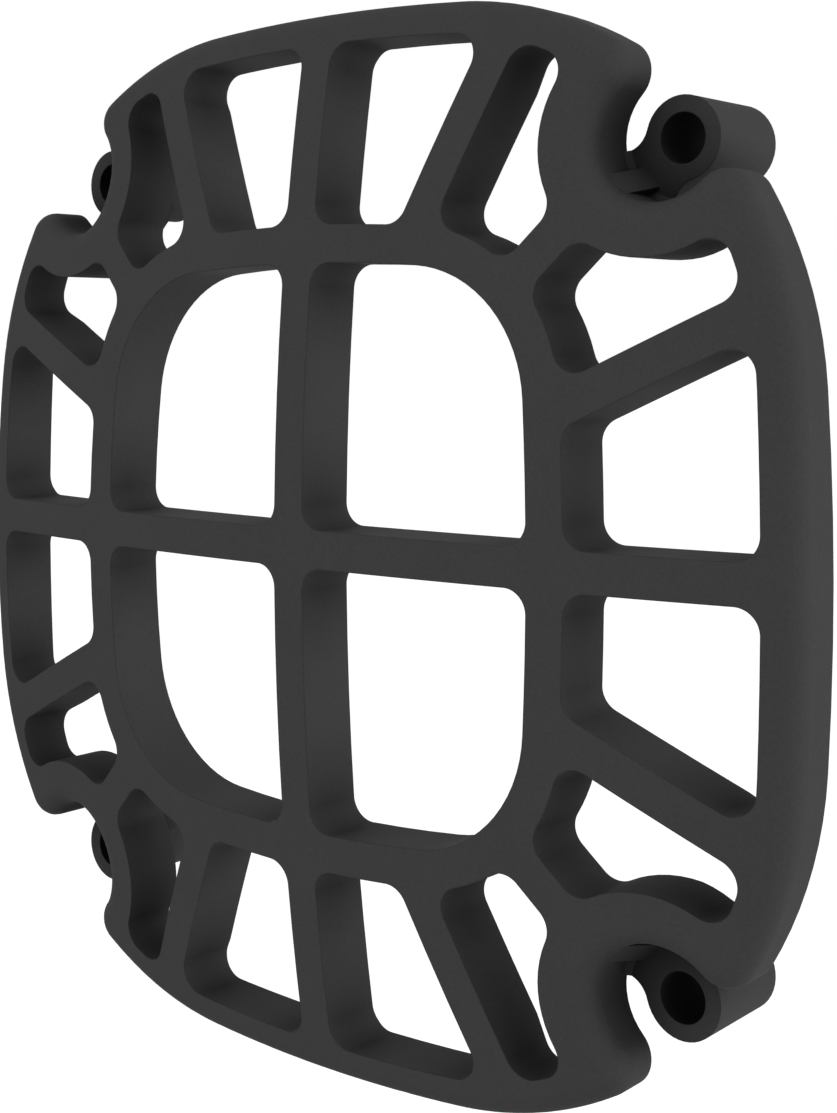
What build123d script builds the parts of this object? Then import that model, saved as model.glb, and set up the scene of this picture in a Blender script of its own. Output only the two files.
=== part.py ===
from build123d import *
import os
from math import sqrt

# Guard grille for a square work lamp: one moulding, domed and open, with four corner screw bosses.
# It is drawn lying face down: z is the depth behind the crown of the dome, and the bosses stand on
# top. The finished part is then stood up with its face towards -Y and the seating faces of its
# bosses on the plane y = 0.

# Driving dimensions, in millimetres and degrees
screw_pitch = 74.0          # between neighbouring screw axes
screw_hole = 4.5            # clearance for an M4 screw
corner_setback = 4.0        # screw axis to where the outline's corner would pass, on the diagonal
corner_radius = 37.4        # corners of the outline
side_radius = 250.0         # outward bulge of the four sides
overall_depth = 20.0        # crown of the dome to the bosses' seating faces
rim_depth = 10.4            # crown of the dome to the flat rear edge of the rim
plate_thickness = 6.3       # the dome, measured square to its surface
dome_radius = 280.0         # front surface of the dome
edge_round = 2.2            # front edge, all round the outline
tip_land = 0.6              # what the plan of each corner tip keeps beyond the front edge's rounding

rim_width = 3.25            # rim, beside the windows
rib_width = 3.6             # bars, ring and spokes
ring_opening = 53.8         # inside the ring, across the middles of two opposite sides
ring_side_radius = 181.0    # outward bulge of the ring's sides
ring_corner_radius = 13.0
spoke_angle = 25.0          # slanting spokes, away from the nearest bar
window_round = 2.2          # corners of the windows

boss_diameter = 7.5
scallop_gap = 2.0           # air round each boss, inside its scallop
arm_width = 4.8             # wall between a scallop and the windows beside it
web_thickness = 2.0         # web that ties a boss to its arm
web_flank_radius = 2.5      # hollow flanks of the web
web_flank_angle = 60.0      # where they leave the boss, away from the inward diagonal
web_overlap = 2.2           # how far the web runs under its arm, and up into it
gusset_width = 2.5          # small rib that stiffens the web
gusset_foot = 1.2
gusset_height = 4.4
root_slope = 0.5            # small slope where a web's face meets the scallop's wall

# Sizes that follow
boss_radius = boss_diameter / 2
boss_height = overall_depth - rim_depth
scallop_radius = boss_radius + scallop_gap
arm_radius = scallop_radius + arm_width
web_reach = scallop_radius + web_overlap
tip_round = edge_round + tip_land
screw_reach = screw_pitch / sqrt(2)
corner_reach = screw_reach + corner_setback
corner_centre = (corner_reach - corner_radius) / sqrt(2)
half_width = side_radius + corner_centre - sqrt((side_radius - corner_radius)**2 - corner_centre**2)
quarter_turns = [0, 90, 180, 270]
corners = [Rot(Z=45 + turn) * Pos(screw_reach, 0) for turn in quarter_turns]


def bulged_square(half, bulge_radius, round_radius):
    """A square whose sides are outward arcs and whose corners are rounded."""
    arc_centre = bulge_radius - half
    corner = (sqrt(2 * bulge_radius**2 - arc_centre**2) - arc_centre) / 2
    side = ThreePointArc((corner, -corner), (half, 0), (corner, corner))
    sharp = make_face([Rot(Z=turn) * side for turn in quarter_turns])
    return fillet(sharp.vertices(), round_radius)


def strip(angle):
    """A straight rib from side to side through the middle."""
    return Rot(Z=angle) * Rectangle(2 * corner_reach, rib_width)


def rounded(window):
    """A window with its corners rounded."""
    return offset(offset(window, -window_round), window_round)


def quarter_windows(whole):
    """The windows of one quarter of the grille, as flat areas, mirrored in its diagonal."""
    ring_inside = bulged_square(ring_opening / 2, ring_side_radius, ring_corner_radius)
    bars = strip(0) + strip(90)
    slants = [turn + lean for turn in quarter_turns for lean in (spoke_angle, -spoke_angle)]
    spokes = [strip(angle) for angle in slants + [45, -45]]
    arms = [corner * Circle(arm_radius) for corner in corners]
    inner = ring_inside - bars
    outer = offset(whole, -rim_width) - offset(ring_inside, rib_width) - bars - spokes - arms
    centre = rounded(inner.faces().sort_by_distance((half_width, half_width))[0])
    beside = [rounded(window) for window in outer.faces() if window.center().Y > window.center().X > 0]
    diagonal = Plane((0, 0, 0), z_dir=(1, -1, 0))
    return [centre] + beside + [mirror(window, diagonal) for window in beside]


def domed_plate(whole):
    """The plain plate: a shell of a sphere, cut to the outline and trimmed flat behind."""
    sharp = whole - [corner * Circle(scallop_radius) for corner in corners]
    tips = [tip for corner in corners for tip in sharp.vertices().sort_by_distance(corner.position)[:2]]
    outline = fillet(tips, tip_round)
    centre = Pos(0, 0, dome_radius) * Rot(X=90)
    plate = extrude(outline, rim_depth) & centre * Sphere(dome_radius)
    front = plate.faces().sort_by(Axis.Z)[0]
    plate = fillet(front.outer_wire().edges(), edge_round)
    return plate - centre * Sphere(dome_radius - plate_thickness)


def polar(radius, angle):
    """A point at a distance and a direction from a screw axis."""
    return Vector(radius, 0).rotate(Axis.Z, angle)


def web_plan():
    """Web of one boss: hollow flanks that leave the boss smoothly, then straight sides under the arm."""
    side = 180 - web_flank_angle
    hollow = polar(boss_radius + web_flank_radius, side)
    narrowest = hollow + polar(web_flank_radius, -90)
    flank = ThreePointArc(polar(boss_radius, side), narrowest, hollow + polar(web_flank_radius, -135))
    end = flank @ 1
    root = Polyline(end, (-web_reach, end.Y), (-web_reach, -end.Y), (end.X, -end.Y))
    heart = Polyline(polar(boss_radius, side), (0, 0), polar(boss_radius, -side))
    return make_face([flank, root, mirror(flank, Plane.XZ), heart])


def gusset():
    """Small rib on the diagonal, from the scallop's wall down to the web's face."""
    foot = (gusset_foot - scallop_radius, rim_depth)
    top = (-scallop_radius, rim_depth - gusset_height)
    root = (-web_reach, rim_depth)
    profile = Plane.XZ * make_face(Polyline(foot, top, root, close=True))
    return extrude(profile, gusset_width / 2, both=True)


def sloped_root():
    """Ring with a small slope, from the scallop's wall to the web's face."""
    toe = (root_slope - scallop_radius, 0)
    crest = (-scallop_radius, -root_slope)
    profile = make_face(Polyline(toe, crest, (-web_reach, -root_slope), (-web_reach, 0), close=True))
    return revolve(Plane.XZ * profile, Axis.Z)


def corner_fixing():
    """Boss, web and gusset of one corner, with the screw axis on Z and the diagonal on X."""
    web = web_plan()
    boss = extrude(Circle(boss_radius), boss_height)
    tie = extrude(web, web_thickness) + (extrude(web, -root_slope) & sloped_root())
    grip = extrude(web - Circle(scallop_radius), -web_overlap)
    return Pos(0, 0, rim_depth) * (boss + tie + grip) + gusset()


def lamp_guard():
    """The whole moulding, face down."""
    whole = bulged_square(half_width, side_radius, corner_radius)
    guard = domed_plate(whole)
    windows = [extrude(window, rim_depth, dir=(0, 0, 1)) for window in quarter_windows(whole)]
    guard -= [Rot(Z=turn) * window for turn in quarter_turns for window in windows]
    guard += [corner * corner_fixing() for corner in corners]
    screw = extrude(Circle(screw_hole / 2), overall_depth)
    return guard - [corner * screw for corner in corners]


standing = Rot(X=-90) * Pos(0, 0, -overall_depth) * lamp_guard()
os.makedirs("parts", exist_ok=True)
export_step(standing, "parts/lamp_guard.step")
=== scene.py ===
import math

import bpy
from bpy.props import FloatProperty, FloatVectorProperty, IntProperty, PointerProperty
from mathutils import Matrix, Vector


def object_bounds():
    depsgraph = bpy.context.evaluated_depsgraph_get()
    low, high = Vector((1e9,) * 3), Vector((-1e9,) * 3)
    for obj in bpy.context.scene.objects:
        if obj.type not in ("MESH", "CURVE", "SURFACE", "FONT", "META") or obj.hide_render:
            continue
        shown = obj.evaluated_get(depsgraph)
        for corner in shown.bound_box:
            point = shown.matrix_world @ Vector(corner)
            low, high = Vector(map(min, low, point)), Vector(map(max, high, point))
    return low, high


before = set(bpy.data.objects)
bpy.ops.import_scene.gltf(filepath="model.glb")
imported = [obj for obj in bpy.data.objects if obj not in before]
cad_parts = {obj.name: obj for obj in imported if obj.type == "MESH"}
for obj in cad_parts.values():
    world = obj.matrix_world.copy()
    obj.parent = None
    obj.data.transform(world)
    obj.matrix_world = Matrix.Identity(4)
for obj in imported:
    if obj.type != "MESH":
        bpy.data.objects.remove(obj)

bl_info = {
    "name": "Lamp Guard Looks",
    "version": (1, 0, 0),
    "blender": (4, 5, 0),
    "location": "3D View > Sidebar > Lamp Guard",
    "description": "Moulded plastic finish and a plain studio for a lamp guard",
    "category": "Material",
}

CAD_BOX = [list(corner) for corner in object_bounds()]
GUARD = "lamp_guard"
PHOTO_HEIGHT = 1113
MILLIMETRE = 0.001
WHITE = (1.0, 1.0, 1.0, 1.0)
NOISE_DETAIL = 2.0
GRAIN_HARSHNESS = 0.6
FLOW_SWIRL = 0.6
NOISE_MIDDLE = 0.5

# Sockets of a Mix node that is set to colours
MIX_SHARE, MIX_FIRST, MIX_SECOND, MIX_RESULT = 0, 6, 7, 2


class MouldedFinish(bpy.types.PropertyGroup):
    """The dark plastic that the guard is moulded from."""

    colour: FloatVectorProperty(
        name="Colour", description="Middle grey of the plastic", subtype="COLOR", size=3,
        default=(0.045, 0.045, 0.045), min=0.0, max=1.0)
    flow_size: FloatProperty(
        name="Flow Size", description="Width of the faint clouds left by the flow of the melt",
        subtype="DISTANCE", unit="LENGTH", default=9 * MILLIMETRE)
    flow_tint: FloatProperty(
        name="Flow Tint", description="How much the clouds lighten and darken the grey",
        subtype="FACTOR", default=0.05, min=0.0, max=1.0)
    grain_size: FloatProperty(
        name="Grain Size", description="Width of the fine grain of the mould's face",
        subtype="DISTANCE", unit="LENGTH", precision=5, default=0.3 * MILLIMETRE)
    grain_depth: FloatProperty(
        name="Grain Depth", description="Height of the fine grain",
        subtype="DISTANCE", unit="LENGTH", precision=6, default=0.02 * MILLIMETRE)
    grain_tint: FloatProperty(
        name="Grain Tint", description="How much the grain lightens and darkens the grey",
        subtype="FACTOR", default=0.16, min=0.0, max=1.0)
    roughness: FloatProperty(
        name="Roughness", description="Roughness of the plastic between the grain's peaks",
        subtype="FACTOR", default=0.72, min=0.0, max=1.0)
    roughness_spread: FloatProperty(
        name="Roughness Spread", description="Change of roughness from the grain's valleys to its peaks",
        subtype="FACTOR", default=0.10, min=0.0, max=1.0)
    specular: FloatProperty(
        name="Specular", description="Specular level of the plastic",
        subtype="FACTOR", default=0.02, min=0.0, max=1.0)
    # Painted shade: the four recess settings below darken the base colour by ambient occlusion where
    # walls close a place in. This stands in for the shade that falls in recesses, holes and narrow
    # windows; the plastic there is not really darker.
    painted_recess_shade: FloatProperty(
        name="Painted Recess Shade",
        description="Grey of deep recesses, which handling never pales, as a share of the colour",
        subtype="FACTOR", default=0.08, min=0.0, max=1.0)
    recess_reach: FloatProperty(
        name="Recess Reach", description="How far away a wall still makes a place a recess",
        subtype="DISTANCE", unit="LENGTH", precision=4, default=10 * MILLIMETRE)
    recess_contrast: FloatProperty(
        name="Recess Contrast", description="How much faster the grey deepens than a place closes in",
        default=1.5, min=0.1)
    recess_samples: IntProperty(
        name="Recess Samples", description="Quality of the shade in recesses", default=8, min=1, max=32)
    edge_softness: FloatProperty(
        name="Edge Softness", description="Radius of the small break on every sharp edge",
        subtype="DISTANCE", unit="LENGTH", precision=5, default=0.25 * MILLIMETRE)
    edge_samples: IntProperty(
        name="Edge Samples", description="Quality of the softened edges", default=6, min=2, max=16)


class StudioSetup(bpy.types.PropertyGroup):
    """Pale floor, soft light and camera."""

    floor_drop: FloatProperty(
        name="Floor Drop", description="Gap between the held guard and the floor under it",
        subtype="DISTANCE", unit="LENGTH", default=400 * MILLIMETRE)
    floor_reach: FloatProperty(
        name="Floor Reach", description="Distance from the middle to the floor's edges",
        subtype="DISTANCE", unit="LENGTH", default=30.0)
    floor_colour: FloatVectorProperty(
        name="Floor Colour", description="Pale paint of the floor", subtype="COLOR", size=3,
        default=(0.72, 0.72, 0.72), min=0.0, max=1.0)
    floor_lift: FloatProperty(
        name="Floor Lift",
        description="Light added to what the camera sees of the floor, so that it reads as white",
        default=0.42, min=0.0)
    room_right: FloatProperty(
        name="Room Right", description="Soft light from the room's right side", default=0.96, min=0.0)
    room_left: FloatProperty(
        name="Room Left", description="Soft light from the room's left side", default=1.06, min=0.0)
    room_front: FloatProperty(
        name="Room Front", description="Soft light from the room's front", default=1.00, min=0.0)
    room_back: FloatProperty(
        name="Room Back", description="Soft light from the room's back", default=0.30, min=0.0)
    room_top: FloatProperty(
        name="Room Top", description="Soft light from above", default=0.28, min=0.0)
    key_power: FloatProperty(
        name="Key Power", description="Power of the soft light on the right, a little behind the guard",
        subtype="POWER", unit="POWER", default=4.9, min=0.0)
    key_size: FloatProperty(
        name="Key Size", description="Side of the soft light's square panel",
        subtype="DISTANCE", unit="LENGTH", default=0.9)
    key_place: FloatVectorProperty(
        name="Key Place", description="Middle of the soft light's panel",
        subtype="TRANSLATION", unit="LENGTH", size=3, default=(0.88, 0.46, 0.00))
    camera_place: FloatVectorProperty(
        name="Camera Place", description="Where the camera stands",
        subtype="TRANSLATION", unit="LENGTH", size=3, precision=5, default=(0.11823, -0.14289, 0.01968))
    camera_heading: FloatProperty(
        name="Camera Heading", description="Turn of the level camera away from facing the guard squarely",
        subtype="ANGLE", unit="ROTATION", default=math.radians(38.931))
    camera_reach: FloatProperty(
        name="Camera Reach", description="Focal length, in pixels of the photograph", default=1798.465)
    camera_shift: FloatVectorProperty(
        name="Camera Shift", description="Lens shift across and up, as shares of the picture's height",
        size=2, precision=5, default=(-0.02268, -0.19535))


class Wire:
    """A socket of a shader tree. Sums and products of wires add Math nodes to the tree."""

    def __init__(self, tree, socket=None):
        self.tree = tree
        self.socket = socket

    def node(self, kind, settings=None, inputs=None, output=0):
        """Add a node: its settings first, then the values or wires of its sockets."""
        made = self.tree.nodes.new(kind)
        for name, value in (settings or {}).items():
            setattr(made, name, value)
        for name, value in (inputs or {}).items():
            if isinstance(value, Wire):
                self.tree.links.new(value.socket, made.inputs[name])
            else:
                made.inputs[name].default_value = value
        return Wire(self.tree, made.outputs[output] if made.outputs else None)

    def maths(self, operation, first, second):
        """Add a Math node on two values or wires."""
        return self.node("ShaderNodeMath", {"operation": operation}, {0: first, 1: second})

    def __add__(self, other):
        return self.maths("ADD", self, other)

    def __sub__(self, other):
        return self.maths("SUBTRACT", self, other)

    def __rsub__(self, other):
        return self.maths("SUBTRACT", other, self)

    def __neg__(self):
        return 0.0 - self

    def __mul__(self, other):
        return self.maths("MULTIPLY", self, other)

    def __pow__(self, other):
        return self.maths("POWER", self, other)

    def __rpow__(self, other):
        return self.maths("POWER", other, self)

    __radd__ = __add__
    __rmul__ = __mul__

    def positive(self):
        """The value, or 0 where it is negative."""
        return self.maths("MAXIMUM", self, 0.0)


def empty_tree(owner):
    """The cleared node tree of a material or a world, as a wire to start from."""
    owner.use_nodes = True
    owner.node_tree.nodes.clear()
    return Wire(owner.node_tree)


def tinted(colour, factor):
    """A colour made lighter or darker, with full alpha."""
    return [channel * factor for channel in colour] + [1.0]


def mixed(share, first, second):
    """A colour between two others, the second where the share is 1."""
    return share.node("ShaderNodeMix", {"data_type": "RGBA"}, {
        MIX_SHARE: share, MIX_FIRST: first, MIX_SECOND: second}, output=MIX_RESULT)


def moulded_plastic(finish):
    """Dark plastic with a fine mould grain, faint flow clouds, painted shade in its recesses and softened
    edges.
    """
    material = bpy.data.materials.new("dark_moulded_plastic")
    wire = empty_tree(material)
    place = wire.node("ShaderNodeTexCoord", output="Object")
    grain = wire.node("ShaderNodeTexNoise", inputs={
        "Vector": place, "Scale": 1 / finish.grain_size,
        "Detail": NOISE_DETAIL, "Roughness": GRAIN_HARSHNESS})
    flow = wire.node("ShaderNodeTexNoise", inputs={
        "Vector": place, "Scale": 1 / finish.flow_size,
        "Detail": NOISE_DETAIL, "Distortion": FLOW_SWIRL})
    spread = finish.flow_tint + finish.grain_tint
    share = (flow * finish.flow_tint + grain * finish.grain_tint) * (1 / spread)
    open_colour = mixed(share, tinted(finish.colour, 1 - spread), tinted(finish.colour, 1 + spread))
    # Painted shade: ambient occlusion measures how closed in each place is, and the base colour is
    # darkened there to stand in for the shade that falls in recesses.
    openness = wire.node(
        "ShaderNodeAmbientOcclusion", {"samples": finish.recess_samples, "only_local": True},
        {"Distance": finish.recess_reach}, output="AO")
    # The near-black grey of the painted shade, reached where a place is fully closed in.
    painted_shade_grey = tinted(finish.colour, finish.painted_recess_shade)
    colour = mixed(openness ** finish.recess_contrast, painted_shade_grey, open_colour)
    soft_edges = wire.node(
        "ShaderNodeBevel", {"samples": finish.edge_samples}, {"Radius": finish.edge_softness})
    surface = wire.node("ShaderNodeBump", inputs={
        "Strength": 1.0, "Distance": finish.grain_depth, "Height": grain, "Normal": soft_edges})
    plastic = wire.node("ShaderNodeBsdfPrincipled", inputs={
        "Base Color": colour,
        "Roughness": finish.roughness + (grain - NOISE_MIDDLE) * finish.roughness_spread,
        "Specular IOR Level": finish.specular,
        "Normal": surface})
    wire.node("ShaderNodeOutputMaterial", inputs={"Surface": plastic})
    return material


def seen_directly(wire):
    """1 for rays from the camera and for those it sees mirrored or through glass, else 0."""
    kinds = [wire.node("ShaderNodeLightPath", output=name)
             for name in ("Is Camera Ray", "Is Glossy Ray", "Is Transmission Ray")]
    return kinds[0] + kinds[1] + kinds[2]


def floor_paint(studio):
    """Pale matt paint, lifted to white where it is seen directly. It still takes shadows."""
    material = bpy.data.materials.new("pale_floor")
    wire = empty_tree(material)
    matt = wire.node("ShaderNodeBsdfDiffuse", inputs={"Color": tinted(studio.floor_colour, 1.0)})
    lift = wire.node("ShaderNodeEmission", inputs={
        "Color": WHITE, "Strength": seen_directly(wire) * studio.floor_lift})
    both = wire.node("ShaderNodeAddShader", inputs={0: matt, 1: lift})
    wire.node("ShaderNodeOutputMaterial", inputs={"Surface": both})
    return material


def add_floor(studio):
    """A wide level floor under the guard."""
    reach = studio.floor_reach
    level = CAD_BOX[0][2] - studio.floor_drop
    corners = [(x * reach, y * reach, level) for x, y in ((-1, -1), (1, -1), (1, 1), (-1, 1))]
    mesh = bpy.data.meshes.new("floor")
    mesh.from_pydata(corners, [], [(0, 1, 2, 3)])
    mesh.materials.append(floor_paint(studio))
    floor = bpy.data.objects.new("floor", mesh)
    bpy.context.scene.collection.objects.link(floor)


def add_room(studio):
    """Soft light with its own strength on each side of the room, behind a white backdrop."""
    world = bpy.data.worlds.new("white_room")
    wire = empty_tree(world)
    towards = wire.node("ShaderNodeTexCoord", output="Generated")
    across, away, up = [
        wire.node("ShaderNodeSeparateXYZ", inputs={"Vector": towards}, output=axis) for axis in "XYZ"]
    light = (studio.room_right * across.positive() + studio.room_left * (-across).positive()
             + studio.room_back * away.positive() + studio.room_front * (-away).positive()
             + studio.room_top * up.positive())
    seen = seen_directly(wire)
    strength = seen + (1 - seen) * light
    room = wire.node("ShaderNodeBackground", inputs={"Color": WHITE, "Strength": strength})
    wire.node("ShaderNodeOutputWorld", inputs={"Surface": room})
    bpy.context.scene.world = world


def add_key(studio):
    """One large soft light, turned to the guard."""
    lamp = bpy.data.lights.new("key", "AREA")
    lamp.energy = studio.key_power
    lamp.size = studio.key_size
    key = bpy.data.objects.new("key", lamp)
    key.location = studio.key_place
    key.rotation_euler = (-Vector(studio.key_place)).to_track_quat("-Z", "Y").to_euler()
    bpy.context.scene.collection.objects.link(key)


def add_camera(studio):
    """A level camera with a shifted lens, as in the photograph."""
    lens = bpy.data.cameras.new("camera")
    lens.lens = studio.camera_reach / PHOTO_HEIGHT * lens.sensor_width
    lens.shift_x, lens.shift_y = studio.camera_shift
    lens.clip_start = MILLIMETRE
    camera = bpy.data.objects.new("camera", lens)
    camera.location = studio.camera_place
    camera.rotation_euler = (math.pi / 2, 0.0, studio.camera_heading)
    bpy.context.scene.collection.objects.link(camera)
    bpy.context.scene.camera = camera


class LAMPGUARD_OT_dress_moulding(bpy.types.Operator):
    """Give the guard its moulded plastic"""

    bl_idname = "lampguard.dress_moulding"
    bl_label = "Dress the Moulding"

    def execute(self, context):
        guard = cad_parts.get(GUARD)
        if guard is None or not guard.material_slots:
            raise RuntimeError("the frame has no guard with a material slot")
        guard.material_slots[0].material = moulded_plastic(context.scene.moulded_finish)
        return {"FINISHED"}


class LAMPGUARD_OT_set_stage(bpy.types.Operator):
    """Set up the floor, the light and the camera"""

    bl_idname = "lampguard.set_stage"
    bl_label = "Set the Stage"

    def execute(self, context):
        studio = context.scene.studio_setup
        add_floor(studio)
        add_room(studio)
        add_key(studio)
        add_camera(studio)
        context.scene.view_settings.view_transform = "Standard"
        return {"FINISHED"}


class LAMPGUARD_PT_sidebar(bpy.types.Panel):
    """Finish and studio of the lamp guard"""

    bl_label = "Lamp Guard"
    bl_idname = "LAMPGUARD_PT_sidebar"
    bl_space_type = "VIEW_3D"
    bl_region_type = "UI"
    bl_category = "Lamp Guard"

    def draw(self, context):
        for title, group, operator in (
                ("Moulding", context.scene.moulded_finish, LAMPGUARD_OT_dress_moulding),
                ("Studio", context.scene.studio_setup, LAMPGUARD_OT_set_stage)):
            box = self.layout.box()
            box.label(text=title)
            for name in group.__annotations__:
                box.prop(group, name)
            box.operator(operator.bl_idname)


CLASSES = (
    MouldedFinish,
    StudioSetup,
    LAMPGUARD_OT_dress_moulding,
    LAMPGUARD_OT_set_stage,
    LAMPGUARD_PT_sidebar,
)


def register():
    for kind in CLASSES:
        bpy.utils.register_class(kind)
    bpy.types.Scene.moulded_finish = PointerProperty(type=MouldedFinish)
    bpy.types.Scene.studio_setup = PointerProperty(type=StudioSetup)


def unregister():
    del bpy.types.Scene.studio_setup
    del bpy.types.Scene.moulded_finish
    for kind in reversed(CLASSES):
        bpy.utils.unregister_class(kind)


def main():
    register()
    bpy.ops.lampguard.dress_moulding()
    bpy.ops.lampguard.set_stage()


if __name__ == "__main__":
    main()
